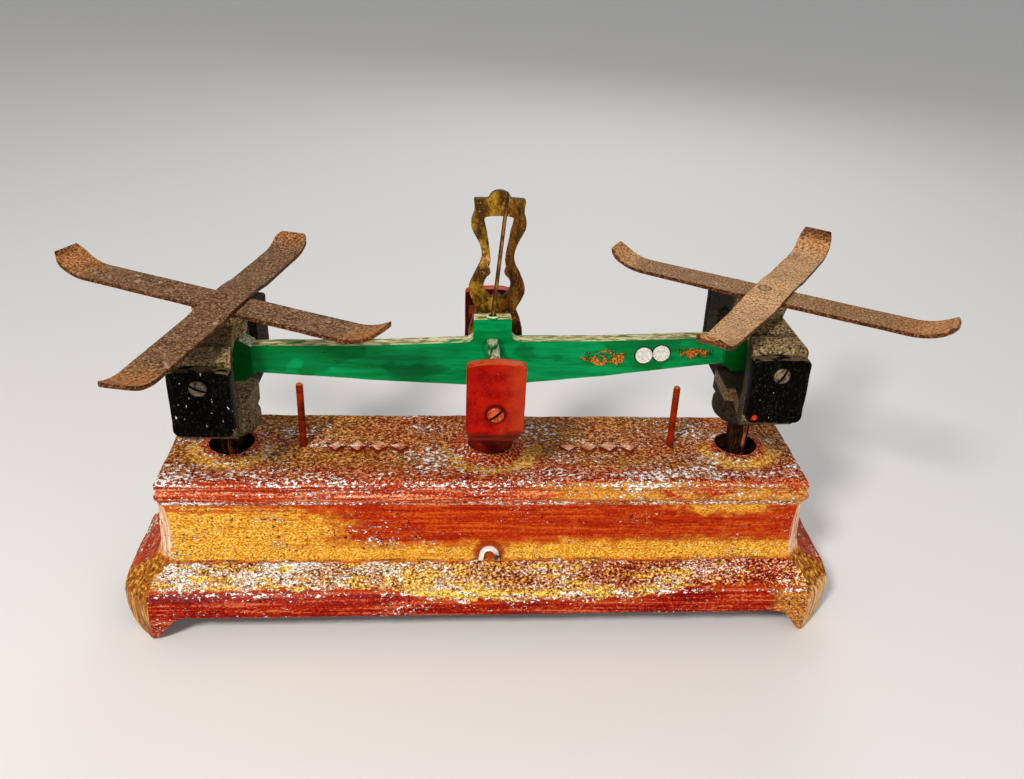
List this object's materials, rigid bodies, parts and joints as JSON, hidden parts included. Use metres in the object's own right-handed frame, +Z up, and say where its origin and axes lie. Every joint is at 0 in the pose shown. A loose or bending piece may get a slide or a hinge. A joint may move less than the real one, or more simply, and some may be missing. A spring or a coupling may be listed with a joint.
{
  "type": "counter balance scale",
  "caption": "Equal-arm counter scale with a green beam on knives, two upright carriers with bare iron crosses, a pointer in a lyre frame and a flared footed cast base.",
  "frame": {"origin": "centre of the four feet, on the counter", "axes": "+X to the scale's right as seen from the front, along the beam; +Y to the rear; +Z up"},
  "size_m": [0.4779, 0.194, 0.2556],
  "materials": {
    "base_paint": "thick old paint, worn and pitted",
    "pillar_paint": "worn gloss paint",
    "red_paint": "worn gloss paint",
    "painted_screw": "worn paint over steel",
    "pin_paint": "worn paint",
    "green_paint": "brushed-on gloss paint",
    "black_paint": "scratched paint",
    "lead": "chalky white",
    "frame_brass": "dull, with remains of paint",
    "needle": "tarnished",
    "carrier_iron": "rough casting with remains of paint",
    "bar_iron": "fine even rust",
    "rusty_iron": "dark rust",
    "worn_screw": "worn",
    "plain_steel": "plain",
    "hard_steel": "ground"
  },
  "bodies": {
    "base": {"base_casting": "base_paint", "central_pillar": "pillar_paint", "pillar_washer": "plain_steel", "pillar_nut": "plain_steel", "front_pillar_bearing": "hard_steel", "rear_pillar_bearing": "hard_steel", "front_pillar_cover": "red_paint", "rear_pillar_cover": "red_paint", "pillar_cover_screws": "painted_screw", "pointer_frame": "frame_brass", "pointer_frame_screws": "worn_screw", "left_stop_pin": "pin_paint", "right_stop_pin": "pin_paint", "stay_pivot_pin": "plain_steel"},
    "beam": {"beam_casting": "green_paint", "centre_knife": "hard_steel", "left_knife": "hard_steel", "right_knife": "hard_steel", "pointer": "needle", "pointer_collar": "green_paint", "seal_plugs": "lead"},
    "left_carrier": {"left_yoke": "carrier_iron", "left_stem": "rusty_iron", "left_stem_cross_pin": "plain_steel", "left_front_bearing": "hard_steel", "left_rear_bearing": "hard_steel", "left_front_cover": "black_paint", "left_rear_cover": "black_paint", "left_cover_screws": "worn_screw", "left_lower_bar": "bar_iron", "left_upper_bar": "bar_iron", "left_cross_rivet": "bar_iron", "left_link_pin": "plain_steel"},
    "right_carrier": {"right_yoke": "carrier_iron", "right_stem": "rusty_iron", "right_stem_cross_pin": "plain_steel", "right_front_bearing": "hard_steel", "right_rear_bearing": "hard_steel", "right_front_cover": "black_paint", "right_rear_cover": "black_paint", "right_cover_screws": "worn_screw", "right_lower_bar": "bar_iron", "right_upper_bar": "bar_iron", "right_cross_rivet": "bar_iron", "right_link_pin": "plain_steel"},
    "stay": {"stay_bar": "rusty_iron"}
  },
  "joints": [
    {"name": "beam_rock", "type": "hinge", "parent": "base", "child": "beam", "pos_m": [0, 0, 0.162], "axis": [0, 1, 0], "range_deg": [-3.4, 7.4]},
    {"name": "left_carrier_hinge", "type": "hinge", "parent": "beam", "child": "left_carrier", "pos_m": [-0.14691, 0, 0.15687], "axis": [0, 1, 0], "range_deg": [-7.4, 3.4]},
    {"name": "right_carrier_hinge", "type": "hinge", "parent": "beam", "child": "right_carrier", "pos_m": [0.14691, 0, 0.16713], "axis": [0, 1, 0], "range_deg": [-7.4, 3.4]},
    {"name": "stay_rock", "type": "hinge", "parent": "base", "child": "stay", "pos_m": [0, 0, 0.058], "axis": [0, 1, 0], "range_deg": [-3.4, 7.4]}
  ],
  "couplings": [
    {"joint": "left_carrier_hinge", "follows": "beam_rock", "ratio": -1},
    {"joint": "right_carrier_hinge", "follows": "beam_rock", "ratio": -1},
    {"joint": "stay_rock", "follows": "beam_rock", "ratio": 1}
  ]
}
